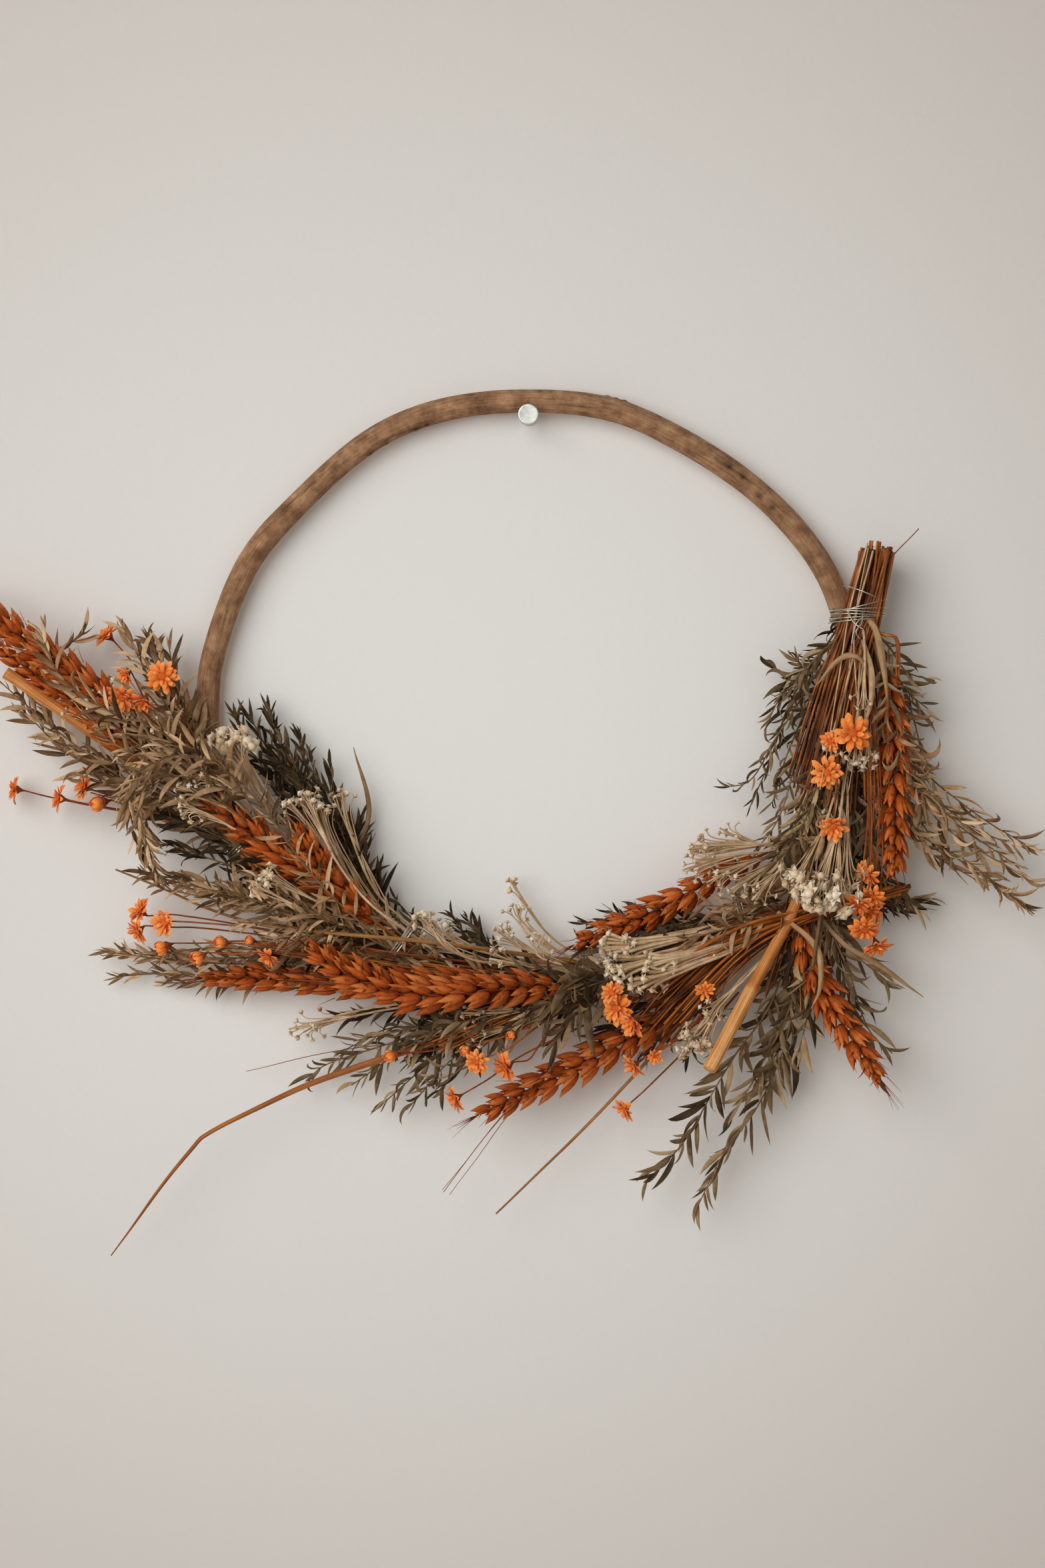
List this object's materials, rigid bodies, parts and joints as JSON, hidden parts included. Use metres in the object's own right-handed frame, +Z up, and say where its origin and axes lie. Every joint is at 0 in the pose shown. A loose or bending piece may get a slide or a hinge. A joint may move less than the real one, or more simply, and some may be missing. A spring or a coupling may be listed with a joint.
{
  "type": "harvest door wreath",
  "caption": "Round vine hoop hanging on a wall peg, its lower half dressed with wired bunches of dried wheat, orange and cream flowers, leaves and straws.",
  "frame": {"origin": "centre of the peg's flat back face, in the plane of the wall, on the peg's axis", "axes": "+Z up, -Y out of the wall towards the viewer, who faces the wreath's front; +X to that viewer's right"},
  "size_m": [0.5648, 0.0593, 0.4545],
  "materials": {
    "peg_metal": "smooth satin nickel peg",
    "vine_bark": "matt brown vine bark with fine grain along it",
    "binding_wire": "thin bright binding wire",
    "dried_wheat": "matt dried ears dyed rust orange, darker in the creases",
    "orange_petals": "papery matt petals in soft orange with a darker heart",
    "cream_flowers": "crumpled matt cream flower clusters on pale stems",
    "olive_leaves": "dry narrow leaves, matt grey olive to brown",
    "golden_straw": "ribbed straw with a slight sheen, golden orange",
    "brown_stems": "thin dry stems in warm brown"
  },
  "bodies": {
    "peg": {"hanging_peg": "peg_metal"},
    "wreath": {"cream_sprig_bottom": "cream_flowers", "cream_sprig_corner": "cream_flowers", "cream_sprig_left_inner": "cream_flowers", "cream_sprig_left_upper": "cream_flowers", "cream_sprig_lower_brush": "cream_flowers", "cream_sprig_lower_end": "cream_flowers", "cream_sprig_lower_tall": "cream_flowers", "cream_sprig_right_big": "cream_flowers", "cream_sprig_right_small": "cream_flowers", "lap_wire": "binding_wire", "leaf_spray_bottom_far": "olive_leaves", "leaf_spray_bottom_low": "olive_leaves", "leaf_spray_corner_inner": "olive_leaves", "leaf_spray_corner_outer": "olive_leaves", "leaf_spray_corner_right": "olive_leaves", "leaf_spray_far_left_low": "olive_leaves", "leaf_spray_far_left_mid": "olive_leaves", "leaf_spray_far_left_top": "olive_leaves", "leaf_spray_left_dark": "olive_leaves", "leaf_spray_left_front": "olive_leaves", "leaf_spray_left_inner": "olive_leaves", "leaf_spray_left_low": "olive_leaves", "leaf_spray_lower": "olive_leaves", "leaf_spray_right_inner": "olive_leaves", "leaf_spray_right_low": "olive_leaves", "leaf_spray_right_outer": "olive_leaves", "long_blade": "brown_stems", "rush_bundle_right": "brown_stems", "star_flower_bottom_far": "orange_petals", "star_flower_bottom_low": "orange_petals", "star_flower_far_left": "orange_petals", "star_flower_far_left_front": "orange_petals", "star_flower_far_left_row": "orange_petals", "star_flower_lower": "orange_petals", "star_flower_right_low": "orange_petals", "star_flower_right_side": "orange_petals", "star_flower_right_top": "orange_petals", "thick_straw_corner": "golden_straw", "thick_straw_far_left": "golden_straw", "thin_straw_bottom": "golden_straw", "thin_straw_lower": "golden_straw", "tie_wire_bottom": "binding_wire", "tie_wire_corner": "binding_wire", "tie_wire_far_left": "binding_wire", "tie_wire_left": "binding_wire", "tie_wire_lower": "binding_wire", "tie_wire_right": "binding_wire", "vine_hoop": "vine_bark", "wheat_bottom_far": "dried_wheat", "wheat_bottom_front": "dried_wheat", "wheat_bottom_near": "dried_wheat", "wheat_corner_inner": "dried_wheat", "wheat_corner_outer": "dried_wheat", "wheat_far_left_lower": "dried_wheat", "wheat_far_left_upper": "dried_wheat", "wheat_left_inner": "dried_wheat", "wheat_left_outer": "dried_wheat", "wheat_lower": "dried_wheat", "wheat_right": "dried_wheat"}
  },
  "joints": [
    {"name": "wreath_swing", "type": "hinge", "parent": "peg", "child": "wreath", "pos_m": [0, -0.009, 0], "axis": [0, 1, 0], "range_deg": [-20, 20]}
  ]
}
